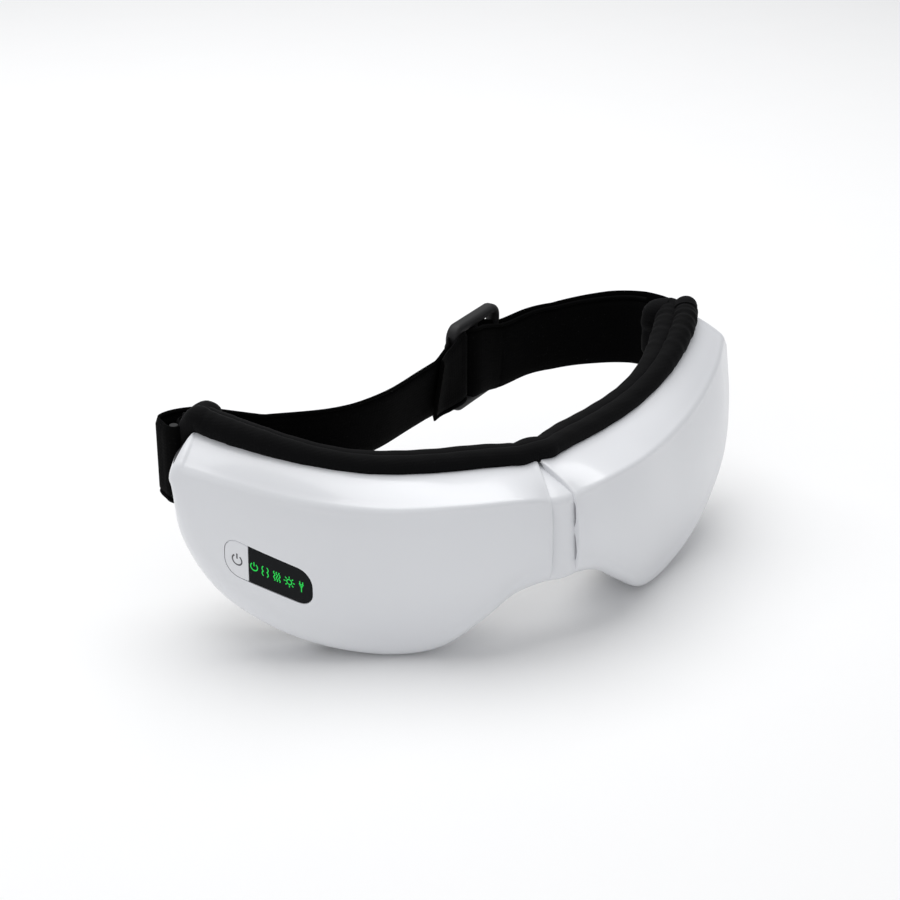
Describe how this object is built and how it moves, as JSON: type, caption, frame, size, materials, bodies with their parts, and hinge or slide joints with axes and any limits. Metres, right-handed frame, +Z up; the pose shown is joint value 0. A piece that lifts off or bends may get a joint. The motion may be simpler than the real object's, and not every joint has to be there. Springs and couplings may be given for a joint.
{
  "type": "eye massager mask",
  "caption": "Folding eye massager mask with two glossy pods on a nose hinge, padded eye cushions, a control panel and an elastic head strap with a sliding buckle.",
  "frame": {"origin": "centre of the part in X and Y, on the plane that the lobes of the two pods stand on", "axes": "+X towards the wearer's left pod, +Y back towards the wearer's face and the strap, +Z up"},
  "size_m": [0.2018, 0.1031, 0.0729],
  "materials": {
    "white_gloss": "glossy moulded, slightly cool white",
    "dark_plastic": "fine matte",
    "black_fabric": "soft stretch fabric with a slight sheen",
    "webbing": "matte woven elastic",
    "black_gloss": "polished window",
    "buckle_plastic": "satin moulded",
    "steel": "brushed",
    "motor_can": "satin",
    "circuit_board": "solder mask",
    "battery_wrap": "shrink wrap",
    "soft_rubber": "soft",
    "film": "thin amber film"
  },
  "bodies": {
    "left_pod": {"left_shell": "white_gloss", "left_inner_cover": "dark_plastic", "left_eye_pad": "black_fabric", "bridge_cover": "white_gloss", "left_hinge_leaf": "steel", "hinge_pin": "steel", "display_window": "black_gloss", "display_board": "circuit_board", "button_switch": "dark_plastic", "main_board": "circuit_board", "charging_socket": "steel", "left_air_bag": "soft_rubber", "left_heating_film": "film", "left_vibration_motor": "motor_can", "left_strap_anchor": "dark_plastic", "left_cover_screws": "steel"},
    "right_pod": {"right_shell": "white_gloss", "right_inner_cover": "dark_plastic", "right_eye_pad": "black_fabric", "right_hinge_leaf": "steel", "battery": "battery_wrap", "air_pump": "motor_can", "air_valve": "dark_plastic", "air_hose": "soft_rubber", "right_air_bag": "soft_rubber", "right_heating_film": "film", "right_vibration_motor": "motor_can", "right_strap_anchor": "dark_plastic", "right_cover_screws": "steel"},
    "power_button": {"power_button": "white_gloss"},
    "left_eccentric_weight": {"left_eccentric_weight": "steel"},
    "right_eccentric_weight": {"right_eccentric_weight": "steel"},
    "left_strap": {"left_strap": "webbing"},
    "right_strap": {"right_strap": "webbing"},
    "strap_buckle": {"strap_buckle": "buckle_plastic"}
  },
  "joints": [
    {"name": "pod_fold", "type": "hinge", "parent": "left_pod", "child": "right_pod", "pos_m": [0, -0.0332, 0.035], "axis": [0, 0, 1], "range_deg": [0, 96], "deforming": ["left_strap", "right_strap"]},
    {"name": "left_strap_swing", "type": "hinge", "parent": "left_pod", "child": "left_strap", "pos_m": [-0.094, 0.0163, 0.055], "axis": [0, 0, 1], "range_deg": [0, 95]},
    {"name": "right_strap_swing", "type": "hinge", "parent": "right_pod", "child": "right_strap", "pos_m": [0.094, 0.0163, 0.055], "axis": [0, 0, 1], "range_deg": [-135, 0]},
    {"name": "buckle_slide", "type": "slide", "parent": "right_strap", "child": "strap_buckle", "axis": [0.8746, 0.4848, 0], "range_m": [-0.004, 0.008]},
    {"name": "power_press", "type": "slide", "parent": "left_pod", "child": "power_button", "axis": [0.5878, 0.809, 0], "range_m": [0, 0.0006], "stiffness_N_per_m": 900, "springref_m": -0.0003},
    {"name": "left_motor_spin", "type": "hinge", "parent": "left_pod", "child": "left_eccentric_weight", "pos_m": [-0.06658, -0.01918, 0.03], "axis": [0, 0, 1], "continuous": true},
    {"name": "right_motor_spin", "type": "hinge", "parent": "right_pod", "child": "right_eccentric_weight", "pos_m": [0.06658, -0.01918, 0.03], "axis": [0, 0, 1], "continuous": true}
  ],
  "couplings": [
    {"joint": "left_strap_swing", "follows": "pod_fold", "ratio": 0.96},
    {"joint": "right_strap_swing", "follows": "pod_fold", "ratio": -1.38}
  ]
}
